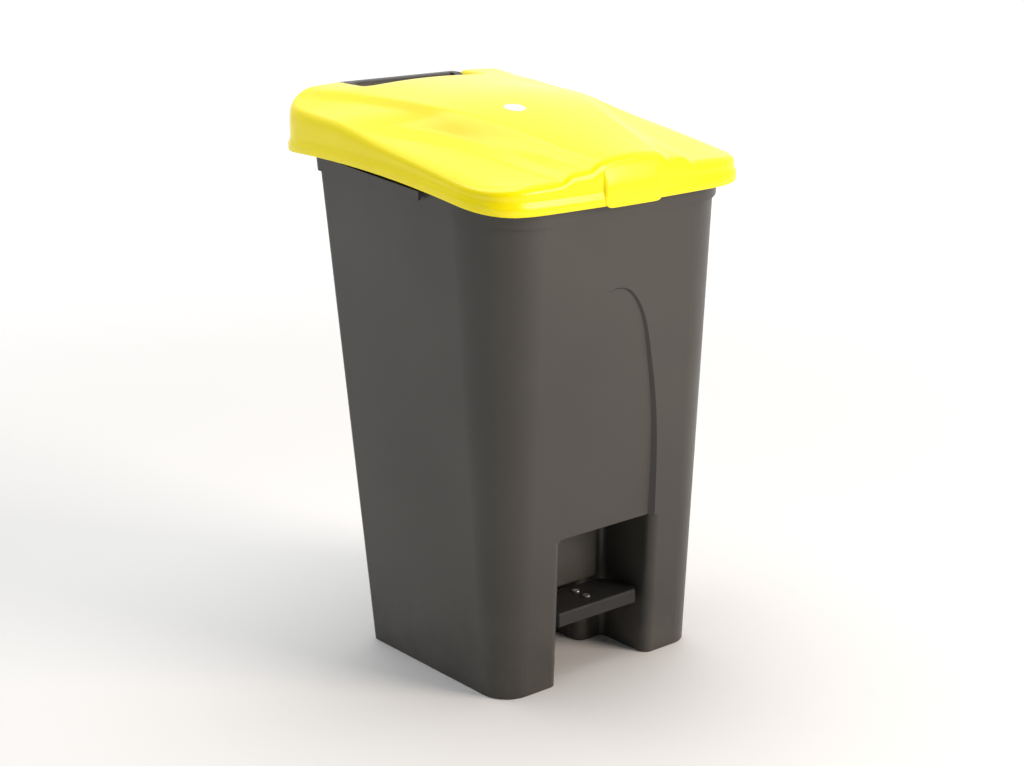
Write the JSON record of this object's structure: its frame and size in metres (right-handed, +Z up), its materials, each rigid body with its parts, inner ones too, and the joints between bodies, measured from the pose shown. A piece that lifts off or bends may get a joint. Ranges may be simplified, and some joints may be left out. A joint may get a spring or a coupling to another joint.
{
  "type": "pedal bin",
  "caption": "Wheeled foot-pedal waste bin with a tapered plastic container, a stepped hinged lid, and a rear push rod that lifts the lid.",
  "frame": {"origin": "on the floor, under the middle of the whole bin's box", "axes": "+Z up, -Y towards the front with the pedal, +X to the right of someone facing the front"},
  "size_m": [0.422, 0.47, 0.7202],
  "materials": {
    "grey_plastic": "satin moulded polypropylene, dark grey",
    "yellow_plastic": "glossy moulded polypropylene, bright yellow",
    "black_plastic": "satin moulded black plastic",
    "zinc_steel": "zinc plated",
    "hub_plastic": "moulded black polypropylene",
    "tyre_rubber": "matt solid rubber",
    "label_paper": "blank printed film sticker"
  },
  "bodies": {
    "container": {"body": "grey_plastic", "rear_handle": "grey_plastic", "handle_screws": "zinc_steel", "hinge_pin_left": "zinc_steel", "hinge_pin_right": "zinc_steel", "hinge_pin_clips": "zinc_steel", "pedal_pivot_pin": "zinc_steel", "pedal_pin_clip": "zinc_steel", "rod_guide_lower": "black_plastic", "rod_guide_upper": "black_plastic", "guide_screws": "zinc_steel", "stub_axle_left": "zinc_steel", "stub_axle_right": "zinc_steel", "axle_cap_left": "black_plastic", "axle_cap_right": "black_plastic"},
    "lid_body": {"lid": "yellow_plastic", "lid_label": "label_paper"},
    "pedal_body": {"pedal": "black_plastic", "pedal_lever": "zinc_steel", "pedal_screws": "zinc_steel"},
    "rod": {"push_rod": "zinc_steel", "rod_low_clips": "zinc_steel", "rod_high_clip": "zinc_steel"},
    "wheel_body_left": {"wheel_left": "hub_plastic", "tyre_left": "tyre_rubber"},
    "wheel_body_right": {"wheel_right": "hub_plastic", "tyre_right": "tyre_rubber"}
  },
  "joints": [
    {"name": "lid_hinge", "type": "hinge", "parent": "container", "child": "lid_body", "pos_m": [0, 0.195, 0.69], "axis": [-1, 0, 0], "range_deg": [0, 78]},
    {"name": "rod_slide", "type": "slide", "parent": "container", "child": "rod", "axis": [0, 0.1212, 0.9926], "range_m": [0, 0.03]},
    {"name": "pedal_pivot", "type": "hinge", "parent": "container", "child": "pedal_body", "pos_m": [0, -0.015, 0.045], "axis": [1, 0, 0], "range_deg": [0, 15.4]},
    {"name": "wheel_spin_left", "type": "hinge", "parent": "container", "child": "wheel_body_left", "pos_m": [-0.097, 0.07, 0.045], "axis": [1, 0, 0], "continuous": true},
    {"name": "wheel_spin_right", "type": "hinge", "parent": "container", "child": "wheel_body_right", "pos_m": [0.097, 0.07, 0.045], "axis": [1, 0, 0], "continuous": true}
  ],
  "couplings": [
    {"joint": "rod_slide", "follows": "lid_hinge", "m_per_rad": 0.022035},
    {"joint": "pedal_pivot", "follows": "lid_hinge", "ratio": 0.19742}
  ]
}
